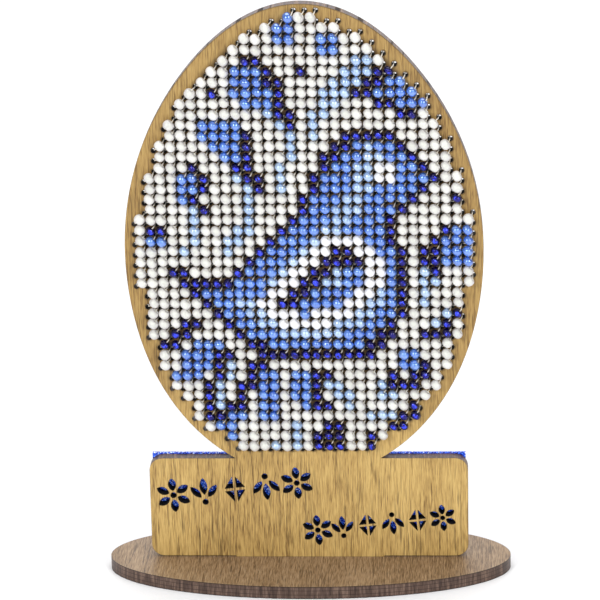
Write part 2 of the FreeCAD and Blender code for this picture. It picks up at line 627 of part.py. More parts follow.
def thread_run(pts):
    """A thread of square section along straight runs, mitred where it bends."""
    path = [pts[0]]
    for p in pts[1:]:
        if (p - path[-1]).Length > 0.05:
            path.append(p)
    ways = [unit(b - a) for a, b in zip(path, path[1:])]
    side = unit(ways[0].cross(Vector(0.31, 0.17, 0.93)))
    up = ways[0].cross(side)
    rings = [[path[0] + side * (TR * x) + up * (TR * y) for x, y in ((1, 0), (0, 1), (-1, 0), (0, -1))]]
    for k, way in enumerate(ways):
        corner = path[k + 1]
        normal = unit(way + ways[k + 1]) if k + 1 < len(ways) else way
        rings.append([q + way * ((corner - q).dot(normal) / way.dot(normal)) for q in rings[-1]])
    faces = []
    for a, b in zip(rings, rings[1:]):
        for k in range(4):
            m = (k + 1) % 4
            faces.append(Part.Face(Part.makePolygon([a[k], a[m], b[m], b[k], a[k]])))
    for end in (rings[0], rings[-1]):
        faces.append(Part.Face(Part.makePolygon(end + [end[0]])))
    shell = Part.makeShell(faces)
    shell.sewShape()
    solid = Part.Solid(shell)
    if solid.Volume < 0:
        solid.reverse()
    return solid, 2 * TR * TR * sum((b - a).Length for a, b in zip(path, path[1:]))


runs = {"thread_upper": [], "thread_middle": [], "thread_lower": []}
worst = 0.0
carry = None
OVER = BACK + 2 * TR + 0.12                    # links between rows pass over the stitches
knots = []
for n, (row, reach) in enumerate(zip(ROWS, REACH)):
    forward = n % 2 == 0
    cols = list(range(-reach, reach + 1))
    if not forward:
        cols.reverse()
    pts = []
    if carry is None:
        first = stitch(beads[(cols[0], row)], forward)[0]
        tail = [first + Vector(-0.5, OVER - BACK, -4.2), first + Vector(-0.1, OVER - BACK, -1.4)]
        knots.append((tail[0], unit(tail[0] - tail[1])))
        pts += tail
    else:
        pts.append(carry)
    for col in cols:
        pts += stitch(beads[(col, row)], forward)
    last = pts[-1]
    if n + 1 < len(ROWS):
        nxt_reach = REACH[n + 1]
        nxt_col = nxt_reach if forward else -nxt_reach
        nxt = stitch(beads[(nxt_col, ROWS[n + 1])], not forward)[0]
        hop = nxt - last
        lift = Vector(0, OVER - BACK, 0)
        a, b = last + hop * 0.30 + lift, last + hop * 0.70 + lift
        middle = (a + b) * 0.5
        pts += [a, middle]
        solid, want = thread_run(pts)
        carry = middle
        lead = b
        carry_next = [middle, lead]
    else:
        tail = [last + Vector(0, OVER - BACK, 1.4), last + Vector(0.3, OVER - BACK, 3.6)]
        knots.append((tail[1], unit(tail[1] - tail[0])))
        pts += tail
        solid, want = thread_run(pts)
    gap = abs(solid.Volume - want) / want
    worst = max(worst, gap)
    if not solid.isValid():
        print("thread row", row, "not valid")
    name = "thread_upper" if row > -3 else ("thread_middle" if row > -17 else "thread_lower")
    runs[name].append(solid)
print("thread rows", sum(len(v) for v in runs.values()), "worst volume difference", round(worst, 5))

for name, solids in runs.items():
    feature = doc.addObject("Part::Feature", name)
    feature.Label = name
    feature.Shape = Part.makeCompound(solids)
    feature.Placement = Placement()
    loose.append(feature)

solids = []
for at, way in knots:
    k = Part.makeCylinder(0.46, 0.9, at, way)
    k = k.makeFillet(0.2, [e_ for e_ in k.Edges if e_.Curve.TypeId == "Part::GeomCircle"])
    solids.append(k)
feature = doc.addObject("Part::Feature", "thread_knots")
feature.Label = "thread_knots"
feature.Shape = Part.makeCompound(solids)
feature.Placement = Placement()
loose.append(feature)

# ---------------------------------------------------------------- checks
doc.recompute()
bad = [o.Name for o in doc.Objects if "Invalid" in o.State or "Error" in o.State]
if bad:
    raise SystemExit("failed objects: " + ", ".join(bad))
nodes = [base, panel, card] + loose
for o in nodes:
    s = o.Shape
    if s.isNull() or not s.isValid() or not s.Solids:
        raise SystemExit("bad shape: " + o.Label)
    b = s.BoundBox
    print("%-18s solids %4d faces %5d volume %9.2f  x %.2f..%.2f y %.2f..%.2f z %.2f..%.2f" % (
        o.Label, len(s.Solids), len(s.Faces), s.Volume, b.XMin, b.XMax, b.YMin, b.YMax, b.ZMin, b.ZMax))

os.makedirs("parts", exist_ok=True)
for o in nodes:
    o.Shape.exportStep("parts/" + o.Label + ".step")
print("written", len(nodes))
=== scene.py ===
import math
import random

import bmesh
import bpy
import numpy as np
from mathutils import Matrix, Vector


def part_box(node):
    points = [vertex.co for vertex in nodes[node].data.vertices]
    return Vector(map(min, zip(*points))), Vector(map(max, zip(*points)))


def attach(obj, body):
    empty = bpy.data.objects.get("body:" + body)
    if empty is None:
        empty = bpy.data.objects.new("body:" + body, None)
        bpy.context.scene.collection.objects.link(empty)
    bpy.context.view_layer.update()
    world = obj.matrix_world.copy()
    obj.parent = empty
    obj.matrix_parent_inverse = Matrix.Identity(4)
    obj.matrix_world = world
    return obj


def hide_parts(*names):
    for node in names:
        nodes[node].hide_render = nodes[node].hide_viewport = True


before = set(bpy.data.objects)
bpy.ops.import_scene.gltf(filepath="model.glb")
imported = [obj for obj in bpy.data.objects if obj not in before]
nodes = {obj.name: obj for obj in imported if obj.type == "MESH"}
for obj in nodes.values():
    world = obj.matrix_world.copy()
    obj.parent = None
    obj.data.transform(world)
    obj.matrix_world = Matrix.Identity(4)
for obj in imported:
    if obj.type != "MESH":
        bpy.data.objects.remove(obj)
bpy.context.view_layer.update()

PITCH = 0.0025
MM = 0.001
egg_lo, egg_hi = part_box("egg_panel")
base_lo, base_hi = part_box("stand_base")
card_lo, card_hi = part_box("glitter_card")
SHEET = egg_hi.y - egg_lo.y                  # sheet thickness
ROW_ZERO = 0.1039                            # height of the lattice row that holds bead row 0


# ---------------------------------------------------------------- node helpers
class Mat:
    """A small builder for procedural materials."""

    def __init__(self, name):
        self.m = bpy.data.materials.new(name)
        self.m.use_nodes = True
        self.t = self.m.node_tree
        self.t.nodes.clear()
        self.out = self.t.nodes.new("ShaderNodeOutputMaterial")
        self.p = self.t.nodes.new("ShaderNodeBsdfPrincipled")
        self.t.links.new(self.p.outputs[0], self.out.inputs[0])
        self._obj = None
        self._geo = None

    def put(self, socket, value):
        if isinstance(value, bpy.types.NodeSocket):
            self.t.links.new(value, socket)
        elif isinstance(value, (tuple, list)) and len(value) == 3 and socket.type == "RGBA":
            socket.default_value = (*value, 1.0)
        else:
            socket.default_value = value

    def set(self, **values):
        for key, value in values.items():
            self.put(self.p.inputs[key.replace("_", " ")], value)

    def xyz(self):
        if self._obj is None:
            n = self.t.nodes.new("ShaderNodeTexCoord")
            self._obj = n.outputs["Object"]
        return self._obj

    def geo(self, name):
        if self._geo is None:
            self._geo = self.t.nodes.new("ShaderNodeNewGeometry")
        return self._geo.outputs[name]

    def attr(self, name, vector=False):
        n = self.t.nodes.new("ShaderNodeAttribute")
        n.attribute_name = name
        return n.outputs["Vector"] if vector else n.outputs["Fac"]

    def split(self, v):
        n = self.t.nodes.new("ShaderNodeSeparateXYZ")
        self.put(n.inputs[0], v)
        return n.outputs[0], n.outputs[1], n.outputs[2]

    def join(self, x, y, z):
        n = self.t.nodes.new("ShaderNodeCombineXYZ")
        for k, v in enumerate((x, y, z)):
            self.put(n.inputs[k], v)
        return n.outputs[0]

    def math(self, op, a, b=0.0, c=0.0, clamp=False):
        n = self.t.nodes.new("ShaderNodeMath")
        n.operation = op
        n.use_clamp = clamp
        self.put(n.inputs[0], a)
        self.put(n.inputs[1], b)
        self.put(n.inputs[2], c)
        return n.outputs[0]

    def vec(self, op, a, b=(0, 0, 0), scale=None):
        n = self.t.nodes.new("ShaderNodeVectorMath")
        n.operation = op
        self.put(n.inputs[0], a)
        self.put(n.inputs[1], b)
        if scale is not None:
            self.put(n.inputs["Scale"], scale)
        return n.outputs["Value"] if op in ("DOT_PRODUCT", "LENGTH", "DISTANCE") else n.outputs[0]

    def stretch(self, sx, sy, sz, shift=(0, 0, 0)):
        n = self.t.nodes.new("ShaderNodeMapping")
        self.put(n.inputs["Vector"], self.xyz())
        n.inputs["Scale"].default_value = (sx, sy, sz)
        n.inputs["Location"].default_value = shift
        return n.outputs[0]

    def noise(self, vector, scale=1.0, detail=2.0, rough=0.5, twist=0.0):
        n = self.t.nodes.new("ShaderNodeTexNoise")
        self.put(n.inputs["Vector"], vector)
        n.inputs["Scale"].default_value = scale
        n.inputs["Detail"].default_value = detail
        n.inputs["Roughness"].default_value = rough
        n.inputs["Distortion"].default_value = twist
        return n.outputs["Fac"]

    def voronoi(self, vector, scale=1.0, feature="F1"):
        n = self.t.nodes.new("ShaderNodeTexVoronoi")
        n.feature = feature
        self.put(n.inputs["Vector"], vector)
        n.inputs["Scale"].default_value = scale
        return n

    def range(self, v, a, b, c=0.0, d=1.0, smooth=True):
        n = self.t.nodes.new("ShaderNodeMapRange")
        n.interpolation_type = "SMOOTHSTEP" if smooth else "LINEAR"
        self.put(n.inputs[0], v)
        for k, q in enumerate((a, b, c, d)):
            self.put(n.inputs[k + 1], q)
        return n.outputs[0]

    def ramp(self, v, stops):
        n = self.t.nodes.new("ShaderNodeValToRGB")
        self.put(n.inputs[0], v)
        e = n.color_ramp.elements
        while len(e) < len(stops):
            e.new(0.5)
        for k, (pos, col) in enumerate(stops):
            e[k].position = pos
            e[k].color = (*col, 1.0)
        return n.outputs[0]

    def mix(self, fac, a, b, blend="MIX"):
        n = self.t.nodes.new("ShaderNodeMix")
        n.data_type = "RGBA"
        n.blend_type = blend
        self.put(n.inputs["Factor"], fac)
        self.put(n.inputs[6], a)
        self.put(n.inputs[7], b)
        return n.outputs[2]

    def bump(self, height, strength, distance, normal=None):
        n = self.t.nodes.new("ShaderNodeBump")
        self.put(n.inputs["Height"], height)
        n.inputs["Strength"].default_value = strength
        n.inputs["Distance"].default_value = distance
        if normal is not None:
            self.put(n.inputs["Normal"], normal)
        return n.outputs[0]

    def bevel(self, radius):
        n = self.t.nodes.new("ShaderNodeBevel")
        n.samples = 6
        n.inputs["Radius"].default_value = radius
        return n.outputs[0]


def srgb(r, g, b):
    def one(c):
        c /= 255.0
        return c / 12.92 if c <= 0.04045 else ((c + 0.055) / 1.055) ** 2.4
    return (one(r), one(g), one(b))


# ---------------------------------------------------------------- plywood
def plywood(name, grain, across, face_axis, light, middle, dark, upright):
    """Laser-cut three-ply: veneer with fine pores on the faces, plies and char on the cut edges."""
    m = Mat(name)
    pos = m.xyz()
    x, y, z = m.split(pos)
    normal = m.geo("True Normal")
    nx, ny, nz = m.split(normal)
    facing = m.math("ABSOLUTE", ny if face_axis == 1 else nz)
    is_face = m.range(facing, 0.6, 0.75)

    def scaled(along, side, depth=400.0, shift=(0, 0, 0)):
        s = {"x": depth, "y": depth, "z": depth}
        s[grain] = along
        s[across] = side
        return m.stretch(s["x"], s["y"], s["z"], shift)

    # broad figure, fibre, and short dark pores
    wander = m.noise(scaled(22, 70), detail=3, rough=0.55, twist=0.4)
    broad = m.noise(scaled(9, 130, shift=(3, 1, 7)), detail=3, rough=0.6)
    fibre = m.noise(scaled(75, 3000), detail=4, rough=0.70)
    fine = m.noise(scaled(330, 5600, shift=(9, 2, 4)), detail=2, rough=0.6)
    pore = m.noise(scaled(150, 3900, shift=(1, 5, 8)), detail=1.5, rough=0.5)
    pore = m.range(pore, 0.56, 0.66)
    patch = m.range(m.noise(scaled(60, 420, shift=(4, 4, 1)), detail=2), 0.40, 0.62)
    pore = m.math("MULTIPLY", pore, m.math("MULTIPLY_ADD", patch, 0.75, 0.25))
    tone = m.math("MULTIPLY_ADD", fibre, 0.62, m.math("MULTIPLY_ADD", broad, 0.30, m.math("MULTIPLY", wander, 0.28)))
    tone = m.math("MULTIPLY_ADD", m.math("SUBTRACT", fine, 0.5), 0.85, tone)
    tone = m.math("MULTIPLY_ADD", m.math("SUBTRACT", tone, 0.60), 1.02, 0.605)
    wood = m.ramp(tone, [(0.36, dark), (0.56, middle), (0.80, light)])
    wood = m.mix(m.math("MULTIPLY", pore, 0.60), wood, tuple(c * 0.30 for c in dark))

    # cut edges: pale core and darker glue lines, all browned by the laser
    depth = y if face_axis == 1 else z
    mid = 0.0 if face_axis == 1 else (base_lo.z + base_hi.z) / 2
    level = m.math("DIVIDE", m.math("SUBTRACT", depth, mid), SHEET / 2)
    level = m.math("ABSOLUTE", level)
    glue = m.math("MULTIPLY", m.range(level, 0.27, 0.32), m.range(level, 0.37, 0.42, 1.0, 0.0))
    lip = m.range(level, 0.80, 0.98)
    through = {"x": 1300.0, "y": 1300.0, "z": 1300.0}
    through["y" if face_axis == 1 else "z"] = 160.0
    streak = m.noise(m.stretch(through["x"], through["y"], through["z"]), detail=3, rough=0.7)
    cut = (srgb(40, 26, 22), srgb(92, 68, 56), srgb(150, 122, 100)) if upright else (srgb(58, 42, 34), srgb(86, 66, 56), srgb(118, 96, 82))
    edge = m.ramp(streak, [(0.36, cut[0]), (0.52, cut[1]), (0.68, cut[2])])
    edge = m.mix(m.math("MULTIPLY", glue, 0.7), edge, srgb(34, 20, 16))
    edge = m.mix(m.math("MULTIPLY", lip, 0.85), edge, srgb(26, 14, 12))

    rough_face = m.math("MULTIPLY_ADD", fibre, 0.16, 0.42)
    color = wood
    if upright:
        # lattice of stitch holes: soot round each hole, charred walls in holes and openings, and painted shade
        # darkening the front face between the beads
        cx = m.math("SUBTRACT", m.math("DIVIDE", x, PITCH), 0.5)
        cz = m.math("SUBTRACT", m.math("DIVIDE", m.math("SUBTRACT", z, ROW_ZERO), PITCH), 0.5)
        fx = m.math("SUBTRACT", cx, m.math("ROUND", cx))
        fz = m.math("SUBTRACT", cz, m.math("ROUND", cz))
        away = m.math("SQRT", m.math("ADD", m.math("MULTIPLY", fx, fx), m.math("MULTIPLY", fz, fz)))
        away = m.math("MULTIPLY", away, PITCH / MM)                    # millimetres from the nearest hole centre
        # the egg's beaded field, a little smaller than its outline
        ez = m.math("DIVIDE", m.math("SUBTRACT", z, 0.0815), 0.0545)
        half = m.math("MULTIPLY_ADD", ez, -0.0022, 0.0385)
        ex = m.math("DIVIDE", x, half)
        inside = m.math("ADD", m.math("MULTIPLY", ex, ex), m.math("MULTIPLY", ez, ez))
        field = m.math("MULTIPLY", m.range(inside, 1.12, 0.96), m.range(z, 0.0275, 0.0300))
        near = m.vec("DOT_PRODUCT", m.bevel(0.00075), m.geo("Normal"))
        soot_and_painted_shade = m.math("MULTIPLY", m.range(near, 0.9995, 0.90), field)
        front = m.range(y, 0.0006, -0.0006)
        # painted shade: the front face inside the beaded field is darkened where the beads shade it, merged with the
        # soot round the holes
        shade = m.math("MULTIPLY", m.range(inside, 0.92, 0.84), 0.80)
        soot_and_painted_shade = m.math("MAXIMUM", soot_and_painted_shade, m.math("MULTIPLY", shade, front))
        color = m.mix(m.math("MULTIPLY", soot_and_painted_shade, 0.90), color, srgb(38, 22, 20))
        margin = m.range(z, 0.026, 0.050)
        color = m.mix(m.math("MULTIPLY", margin, 0.36), color, srgb(118, 88, 48))
        wall = m.math("MULTIPLY", m.range(away, 0.70, 0.64), field)
        plaque = m.math("MULTIPLY", m.range(z, 0.0268, 0.0264), m.range(z, 0.0036, 0.0040))
        plaque = m.math("MULTIPLY", plaque, m.range(m.math("ABSOLUTE", x), 0.0364, 0.0360))
        burnt = m.math("MAXIMUM", wall, plaque)
        edge = m.mix(burnt, edge, srgb(13, 7, 6))
    color = m.mix(is_face, edge, color)

    # a thin scorched line where a face meets a cut
    soft = m.bevel(0.00022)
    turn = m.vec("DOT_PRODUCT", soft, m.geo("Normal"))
    scorch = m.range(turn, 0.995, 0.86)
    scorch = m.math("MULTIPLY", scorch, m.math("MULTIPLY_ADD", m.noise(m.stretch(700, 700, 700), detail=2), 0.7, 0.45), clamp=True)
    color = m.mix(m.math("MULTIPLY", scorch, 0.85), color, srgb(30, 17, 12))

    rough_edge = m.math("MULTIPLY_ADD", streak, 0.30, 0.30)
    if upright:
        rough_edge = m.math("MULTIPLY_ADD", burnt, 0.5, rough_edge)
    rough = m.math("ADD", m.math("MULTIPLY", rough_face, is_face), m.math("MULTIPLY", rough_edge, m.math("SUBTRACT", 1.0, is_face)))
    height = m.math("SUBTRACT", m.math("MULTIPLY_ADD", fibre, 0.5, m.math("MULTIPLY", fine, 0.35)), m.math("MULTIPLY", pore, 0.8))
    height = m.math("MULTIPLY_ADD", m.math("SUBTRACT", 1.0, is_face), m.math("MULTIPLY", streak, 0.8), m.math("MULTIPLY", height, is_face))
    m.set(Base_Color=color, Roughness=rough, Normal=m.bump(height, 0.55, 0.00006))
    m.p.inputs["Specular IOR Level"].default_value = 0.35
    return m.m


wood_panel = plywood("plywood_upright", "z", "x", 1, srgb(206, 174, 108), srgb(178, 145, 84), srgb(106, 78, 42), True)
wood_base = plywood("plywood_base", "y", "x", 2, srgb(172, 146, 114), srgb(134, 108, 78), srgb(84, 62, 44), False)


# ---------------------------------------------------------------- beads
def glazed(name, deep, body, rim, rough, coat, coat_rough=0.06, metallic=0.0, film=0.0, vary=0.12, spec=0.6):
    """A glazed glass bead: it differs a little from its neighbours, is paler at the worn lip of the bore
    and a little deeper round the shoulder, which is painted shade where it meets its neighbours, with faint flow
    marks in the glaze."""
    m = Mat(name)
    each = m.attr("tone")
    s_, r_, q_ = m.split(m.attr("local", True))
    flow = m.noise(m.stretch(900, 900, 900), detail=3, rough=0.6)
    lip = m.range(r_, 0.62, 0.50)
    shoulder = m.math("MULTIPLY", m.range(m.math("ABSOLUTE", s_), 0.35, 0.75), m.range(r_, 0.55, 0.75))
    tone = m.math("ADD", m.math("MULTIPLY_ADD", each, vary * 2, 0.5 - vary), m.math("MULTIPLY_ADD", flow, 0.5, -0.25))
    # painted shade: each bead's ends, where it meets its neighbours, are pushed towards the deep colour
    tone = m.math("MULTIPLY_ADD", shoulder, -0.08, tone)
    color = m.ramp(tone, [(0.20, deep), (0.52, body), (0.85, rim)])
    color = m.mix(m.math("MULTIPLY", lip, 0.5), color, rim)
    m.set(Base_Color=color, Roughness=m.math("MULTIPLY_ADD", flow, 0.12, rough - 0.05))
    m.set(Normal=m.bump(m.noise(m.stretch(1500, 1500, 1500), detail=2), 0.10, 0.00005))
    m.p.inputs["Metallic"].default_value = metallic
    m.p.inputs["Coat Weight"].default_value = coat
    m.p.inputs["Coat Roughness"].default_value = coat_rough
    m.p.inputs["Coat IOR"].default_value = 2.1 if metallic else 1.6
    m.p.inputs["Specular IOR Level"].default_value = spec
    if film:
        m.p.inputs["Thin Film Thickness"].default_value = film
        m.p.inputs["Thin Film IOR"].default_value = 1.6
    return m.m


pearl_white = glazed("bead_pearl_white", srgb(196, 191, 190), srgb(221, 217, 213), srgb(238, 236, 233), 0.46, 0.30, 0.22, film=420, spec=0.45)
clear_white = glazed("bead_clear_white", srgb(218, 218, 221), srgb(234, 234, 236), srgb(246, 246, 247), 0.38, 0.30, 0.20)
pale_blue = glazed("bead_pale_blue", srgb(136, 168, 216), srgb(168, 196, 232), srgb(202, 220, 243), 0.24, 1.0, metallic=0.50, film=380)
mid_blue = glazed("bead_mid_blue", srgb(56, 102, 200), srgb(80, 132, 222), srgb(128, 172, 240), 0.24, 1.0, metallic=0.50, film=380)


def lined(name):
    """Dark clear glass over a bright lined bore: broken blue facets in a nearly black body. The lining's glow and
    glints are painted reflection, put into the colour only on the side facing -Y.
    """
    m = Mat(name)
    each = m.attr("tone")
    normal = m.geo("Normal")
    front = m.vec("DOT_PRODUCT", normal, (0, -1, 0))
    shift = m.vec("SCALE", (37.0, 11.0, 53.0), scale=m.math("MULTIPLY", each, 1.0))
    cell = m.voronoi(m.vec("ADD", m.stretch(1650, 1650, 1650), shift), 1.0)
    c0, c1, c2 = m.split(cell.outputs["Color"])
    # painted reflection: the lining's glow and glints seen through the glass are painted on the side that faces -Y
    core = m.range(front, 0.66, 0.96)
    painted_glints = m.math("MULTIPLY", m.range(c0, 0.50, 0.72), core)
    painted_lining_glow = m.math("MULTIPLY", core, m.math("MULTIPLY_ADD", c1, 0.6, 0.2))
    color = m.mix(painted_lining_glow, srgb(8, 0, 52), srgb(14, 4, 160))
    color = m.mix(painted_glints, color, srgb(52, 72, 250))
    m.set(Base_Color=color, Roughness=m.math("MULTIPLY_ADD", c2, 0.18, 0.10))
    lean = m.vec("SCALE", m.vec("SUBTRACT", cell.outputs["Color"], (0.5, 0.5, 0.5)), scale=m.math("MULTIPLY", core, 0.5))
    m.set(Normal=m.vec("NORMALIZE", m.vec("ADD", normal, lean)))
    m.p.inputs["Metallic"].default_value = 0.30
    m.p.inputs["Coat Weight"].default_value = 0.35
    m.p.inputs["Coat Roughness"].default_value = 0.05
    m.p.inputs["Specular IOR Level"].default_value = 0.35
    return m.m


cobalt = lined("bead_cobalt")

# ---------------------------------------------------------------- glitter card
def glitter(name):
    m = Mat(name)
    fleck = m.voronoi(m.stretch(4200, 4200, 4200), 1.0)
    f0, f1, f2 = m.split(fleck.outputs["Color"])
    drift = m.noise(m.stretch(700, 700, 700), detail=2)
    level = m.math("MULTIPLY_ADD", f0, 0.84, m.math("MULTIPLY", drift, 0.16))
    # the whitest flecks at the top of this ramp are painted glints; the rest is the glitter's own blue
    color = m.ramp(level, [(0.14, srgb(10, 18, 120)), (0.48, srgb(24, 68, 212)), (0.76, srgb(62, 126, 250)), (0.94, srgb(236, 244, 255))])
    lean = m.vec("SCALE", m.vec("SUBTRACT", fleck.outputs["Color"], (0.5, 0.5, 0.5)), scale=0.9)
    m.set(Base_Color=color, Roughness=m.math("MULTIPLY_ADD", f1, 0.25, 0.14))
    m.set(Normal=m.vec("NORMALIZE", m.vec("ADD", m.geo("Normal"), lean)))
    m.p.inputs["Metallic"].default_value = 0.15
    m.p.inputs["Coat Weight"].default_value = 0.4
    m.p.inputs["Coat Roughness"].default_value = 0.20
    # painted light: the card glows faintly in its own colour to brighten the shaded openings in front of it
    m.put(m.p.inputs["Emission Color"], color)
    m.p.inputs["Emission Strength"].default_value = 0.30
    return m.m


card = glitter("glitter_card_face")

# ---------------------------------------------------------------- thread
def cotton(name):
    m = Mat(name)
    twist = m.noise(m.stretch(5200, 5200, 5200), detail=2, rough=0.6)
    soil = m.noise(m.stretch(320, 320, 320), detail=2)
    color = m.ramp(m.math("MULTIPLY_ADD", twist, 0.55, m.math("MULTIPLY", soil, 0.45)),
                   [(0.30, srgb(196, 188, 172)), (0.55, srgb(232, 226, 214)), (0.80, srgb(248, 245, 238))])
    m.set(Base_Color=color, Roughness=m.math("MULTIPLY_ADD", twist, 0.25, 0.50), Normal=m.bump(twist, 0.6, 0.00004))
    m.p.inputs["Sheen Weight"].default_value = 0.3
    m.p.inputs["Sheen Roughness"].default_value = 0.4
    return m.m


thread = cotton("thread_cotton")

looks = {"egg_panel": wood_panel, "stand_base": wood_base, "glitter_card": card, "thread_knots": thread}
for name, material in looks.items():
    node = nodes[name]
    if not node.material_slots:
        node.data.materials.append(material)
    for slot in node.material_slots:
        slot.material = material


# ---------------------------------------------------------------- beads, one by one
def bead_list(node_name):
    """Middle, axis and size of every bead in a CAD node, read from its separate shells."""
    mesh = nodes[node_name].data
    bm = bmesh.new()
    bm.from_mesh(mesh)
    bmesh.ops.remove_doubles(bm, verts=bm.verts, dist=0.000002)
    bm.verts.ensure_lookup_table()
    n = len(bm.verts)
    co = np.array([v.co for v in bm.verts])
    links = np.array([(e.verts[0].index, e.verts[1].index) for e in bm.edges])
    bm.free()
    label = np.arange(n)
    while True:
        low = np.minimum(label[links[:, 0]], label[links[:, 1]])
        new = label.copy()
        np.minimum.at(new, links[:, 0], low)
        np.minimum.at(new, links[:, 1], low)
        new = new[new]
        if (new == label).all():
            break
        label = new
    found = []
    for k in np.unique(label):
        pts = co[label == k]
        mid = (pts.min(0) + pts.max(0)) / 2
        away = np.linalg.norm(pts - mid, axis=1)
        rim = pts[away < away.min() * 1.04]                # the two lips of the bore lie nearest the middle
        mid = rim.mean(0)
        w, v = np.linalg.eigh((rim - mid).T @ (rim - mid))
        axis = v[:, 2]
        if axis[0] + axis[2] < 0:
            axis = -axis
        s = (pts - mid) @ axis
        r = np.linalg.norm((pts - mid) - s[:, None] * axis, axis=1)
        found.append((mid, axis, r.max() / (1.29 * MM)))
    found.sort(key=lambda f: (-round((f[0][2] - ROW_ZERO) / PITCH), f[0][0]))
    return found


def bead_shape(long_, dia=2.58, bore=1.04, around=28, over=13):
    """Vertices and faces of one bead along +X in millimetres: a rounded ring with a soft shoulder."""
    rb, ro = bore / 2, dia / 2
    core = 0.60
    a, b = ro - core, long_ / 2
    power = 2.0
    low = -(math.pi / 2 + math.asin((core - rb) / a))
    profile = []
    for k in range(over):
        t = low + (-2 * low) * k / (over - 1)
        c, s = math.cos(t), math.sin(t)
        profile.append((b * math.copysign(abs(s) ** (2 / power), s), core + a * math.copysign(abs(c) ** (2 / power), c)))
    profile = [(p[0], max(rb, p[1])) for p in profile]
    end = profile[-1]
    profile += [(end[0] * f, rb) for f in (0.4, -0.4)]
    verts, faces = [], []
    m = len(profile)
    for i in range(around):
        f = 2 * math.pi * i / around
        verts += [(p[0], p[1] * math.cos(f), p[1] * math.sin(f)) for p in profile]
    for i in range(around):
        j = (i + 1) % around
        for k in range(m):
            q = (k + 1) % m
            faces.append((i * m + k, j * m + k, j * m + q, i * m + q))
    return np.array(verts), faces


BEAD_GROUPS = {"beads_white_upper": ("pearl_white", pearl_white, 2.00, 1.0), "beads_white_middle": ("pearl_white", pearl_white, 2.00, 1.0),
               "beads_white_lower": ("pearl_white", pearl_white, 2.00, 1.0), "beads_ring_white": ("clear_white", clear_white, 1.96, 1.0),
               "beads_pale_blue": ("pale_blue", pale_blue, 1.96, 1.0), "beads_mid_blue": ("mid_blue", mid_blue, 1.96, 1.0),
               "beads_cobalt": ("cobalt", cobalt, 1.78, 0.93)}
rng = random.Random(7)
all_beads, held = {}, {}
for name, (slot_name, material, long_, shrink) in BEAD_GROUPS.items():
    for mid, axis, size in bead_list(name):
        key = (round(mid[0] / PITCH), round((mid[2] - ROW_ZERO) / PITCH))
        side = np.cross(axis, (0.0, 1.0, 0.0))
        side /= np.linalg.norm(side)
        all_beads[key] = (mid, axis)
        held[key] = {"mid": mid / MM, "axes": (axis, side, np.cross(axis, side)), "k": size * shrink, "long": min(1.84, long_),
                     "wide": 1 - 0.02 * rng.random(), "tone": rng.random(), "name": name, "most": long_}
shapes = {}


def bead_points(bead, long_):
    """A bead's points in millimetres when it is that long."""
    if long_ not in shapes:
        shapes[long_] = bead_shape(long_)
    q = shapes[long_][0] * bead["k"]
    a, side, up_ = bead["axes"]
    return bead["mid"] + np.outer(q[:, 0], a) + np.outer(q[:, 1] * bead["wide"], side) + np.outer(q[:, 2], up_)


def enters(points, bead, long_):
    """True when a point lies inside that bead's body."""
    d = points - bead["mid"]
    s = d @ bead["axes"][0]
    r = np.linalg.norm(d - s[:, None] * bead["axes"][0], axis=1)
    b, core, a = long_ / 2 * bead["k"] + 0.01, 0.60 * bead["k"], 0.69 * bead["k"] + 0.01
    return bool((((np.maximum(r - core, 0) / a) ** 2 + (s / b) ** 2 < 1) & (r > 0.5 * bead["k"])).any())


# every bead is as full as the room between its neighbours lets it be
for key, bead in held.items():
    near = [held[q] for q in ((key[0] + i, key[1] + j) for i in (-1, 0, 1) for j in (-1, 0, 1)) if q != key and q in held]
    for long_ in (2.04, 1.98, 1.92, 1.88):
        if long_ > bead["most"] + 0.05:
            continue
        mine = bead_points(bead, long_)
        if not any(enters(mine, o, o["long"]) or enters(bead_points(o, o["long"]), bead, long_) for o in near):
            bead["long"] = long_
            break

for name, (slot_name, material, long_, shrink) in BEAD_GROUPS.items():
    coords, faces, tones, local = [], [], [], []
    for bead in (q for q in held.values() if q["name"] == name):
        points = bead_points(bead, bead["long"])
        shape, quads = shapes[bead["long"]]
        base = len(coords) * len(shape)
        coords.append(points * MM)
        faces += [tuple(base + i for i in f) for f in quads]
        tones.append(np.full(len(shape), bead["tone"]))
        local.append(np.column_stack([shape[:, 0], np.hypot(shape[:, 1], shape[:, 2]), np.zeros(len(shape))]))
    mesh = bpy.data.meshes.new(name + "_glazed")
    mesh.from_pydata(np.concatenate(coords).tolist(), [], faces)
    mesh.attributes.new("tone", "FLOAT", "POINT").data.foreach_set("value", np.concatenate(tones).astype(np.float32))
    mesh.attributes.new("local", "FLOAT_VECTOR", "POINT").data.foreach_set("vector", np.concatenate(local).astype(np.float32).ravel())
    mesh.polygons.foreach_set("use_smooth", [True] * len(mesh.polygons))
    bm = bmesh.new()
    bm.from_mesh(mesh)
    bmesh.ops.recalc_face_normals(bm, faces=bm.faces)
    bm.to_mesh(mesh)
    bm.free()
    mesh.materials.append(material)
    obj = bpy.data.objects.new(name + "_glazed", mesh)
    bpy.context.scene.collection.objects.link(obj)
    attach(obj, "upright")
    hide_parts(name)


# ---------------------------------------------------------------- thread, smooth and round
THREAD_R = 0.135
FRONT_Y, BACK_Y = -1.5, 1.5 + 0.176 + 0.05
OVER_Y = BACK_Y + 2 * 0.176 + 0.12


def in_hole(col2, row2, lean, y):
    return Vector((col2 * 1.25 + lean * 0.155, y, ROW_ZERO / MM + row2 * 1.25 + lean * 0.155))


